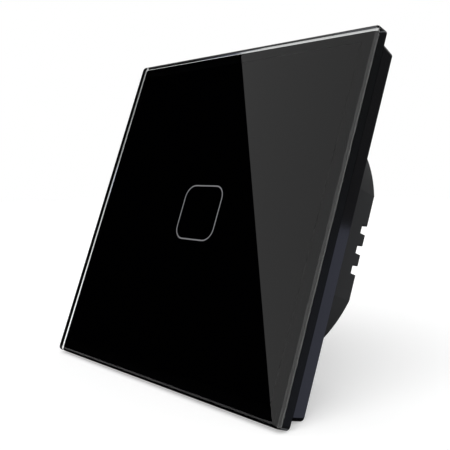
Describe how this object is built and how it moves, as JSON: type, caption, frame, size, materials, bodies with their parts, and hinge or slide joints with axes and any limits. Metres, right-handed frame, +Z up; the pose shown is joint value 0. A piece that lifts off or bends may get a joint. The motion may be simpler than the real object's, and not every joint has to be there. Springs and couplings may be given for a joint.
{
  "type": "smart light switch",
  "caption": "Wall-mounted touch light switch: square black glass panel on a shallow frame, with a round flatted housing behind for a wall box.",
  "frame": {"origin": "middle of the two fixing slots, on the rear face of the base frame, 0.4 mm in front of the wall", "axes": "+X to the right as the viewer faces the panel, +Y into the wall, +Z up"},
  "size_m": [0.08, 0.0283, 0.08],
  "materials": {
    "black_glass": "tempered glass with a black print on its back, high gloss",
    "mark_print": "grey print line",
    "adhesive_tape": "foam adhesive tape",
    "frame_plastic": "black moulded plastic with a satin gloss",
    "housing_plastic": "black moulded plastic, fine matt grain",
    "plated_screw": "zinc plated",
    "board_resin": "green circuit board",
    "clear_plastic": "milky light guide",
    "lamp_resin": "lamp package",
    "spring_steel": "bright spring wire",
    "chip_resin": "moulded chip body",
    "strip_plastic": "black connector plastic",
    "gilt_pins": "gold flashed",
    "relay_plastic": "blue moulded plastic",
    "bobbin_plastic": "natural plastic",
    "copper_wire": "enamelled copper wire",
    "relay_iron": "plated soft iron",
    "contact_metal": "contact alloy",
    "ferrite": "sintered ferrite",
    "can_sleeve": "shrink sleeve",
    "film_case": "moulded case",
    "disc_coating": "dipped epoxy",
    "resistor_coating": "flameproof coating",
    "shield_metal": "tinned steel",
    "terminal_plastic": "dark terminal plastic",
    "terminal_brass": "tinned brass",
    "cage_steel": "plated steel cage"
  },
  "bodies": {
    "base": {"base_frame": "frame_plastic", "rear_housing": "housing_plastic", "housing_screws": "plated_screw", "touch_board": "board_resin", "light_guide": "clear_plastic", "indicator_leds": "lamp_resin", "touch_spring": "spring_steel", "touch_chip": "chip_resin", "pin_strip": "strip_plastic", "header_pins": "gilt_pins", "socket_strip": "strip_plastic", "power_board": "board_resin", "relay_base": "relay_plastic", "relay_case": "relay_plastic", "relay_bobbin": "bobbin_plastic", "relay_winding": "copper_wire", "relay_core": "relay_iron", "relay_yoke": "relay_iron", "fixed_contact": "contact_metal", "transformer_core": "ferrite", "transformer_bobbin": "bobbin_plastic", "transformer_winding": "copper_wire", "filter_capacitors": "can_sleeve", "safety_capacitor": "film_case", "varistor": "disc_coating", "fuse_resistor": "resistor_coating", "bridge_rectifier": "chip_resin", "regulator_chip": "chip_resin", "filter_choke": "ferrite", "radio_board": "board_resin", "radio_shield": "shield_metal", "terminal_block": "terminal_plastic", "terminal_bars": "terminal_brass"},
    "panel": {"glass_panel": "black_glass", "touch_mark": "mark_print", "panel_tape": "adhesive_tape", "panel_frame": "frame_plastic"},
    "armature": {"relay_armature": "relay_iron", "moving_contact": "contact_metal"},
    "cage_1": {"terminal_cage_1": "cage_steel"},
    "screw_1": {"terminal_screw_1": "plated_screw"},
    "cage_2": {"terminal_cage_2": "cage_steel"},
    "screw_2": {"terminal_screw_2": "plated_screw"},
    "cage_3": {"terminal_cage_3": "cage_steel"},
    "screw_3": {"terminal_screw_3": "plated_screw"}
  },
  "joints": [
    {"name": "panel_pull", "type": "slide", "parent": "base", "child": "panel", "axis": [0, -1, 0], "range_m": [0, 0.02]},
    {"name": "relay_swing", "type": "hinge", "parent": "base", "child": "armature", "pos_m": [-0.0077, 0.01645, 0.001], "axis": [0, 0, -1], "range_deg": [0, 4], "stiffness_Nm_per_rad": 0.004},
    {"name": "terminal_screw_1_turn", "type": "hinge", "parent": "base", "child": "screw_1", "pos_m": [-0.005, 0.015, -0.0225], "axis": [0, 1, 0], "range_deg": [0, 1800]},
    {"name": "terminal_cage_1_rise", "type": "slide", "parent": "base", "child": "cage_1", "axis": [0, 1, 0], "range_m": [0, 0.00225]},
    {"name": "terminal_screw_2_turn", "type": "hinge", "parent": "base", "child": "screw_2", "pos_m": [0, 0.015, -0.0225], "axis": [0, 1, 0], "range_deg": [0, 1800]},
    {"name": "terminal_cage_2_rise", "type": "slide", "parent": "base", "child": "cage_2", "axis": [0, 1, 0], "range_m": [0, 0.00225]},
    {"name": "terminal_screw_3_turn", "type": "hinge", "parent": "base", "child": "screw_3", "pos_m": [0.005, 0.015, -0.0225], "axis": [0, 1, 0], "range_deg": [0, 1800]},
    {"name": "terminal_cage_3_rise", "type": "slide", "parent": "base", "child": "cage_3", "axis": [0, 1, 0], "range_m": [0, 0.00225]}
  ],
  "couplings": [
    {"joint": "terminal_screw_1_turn", "follows": "terminal_cage_1_rise", "rad_per_m": 13963},
    {"joint": "terminal_screw_2_turn", "follows": "terminal_cage_2_rise", "rad_per_m": 13963},
    {"joint": "terminal_screw_3_turn", "follows": "terminal_cage_3_rise", "rad_per_m": 13963}
  ]
}
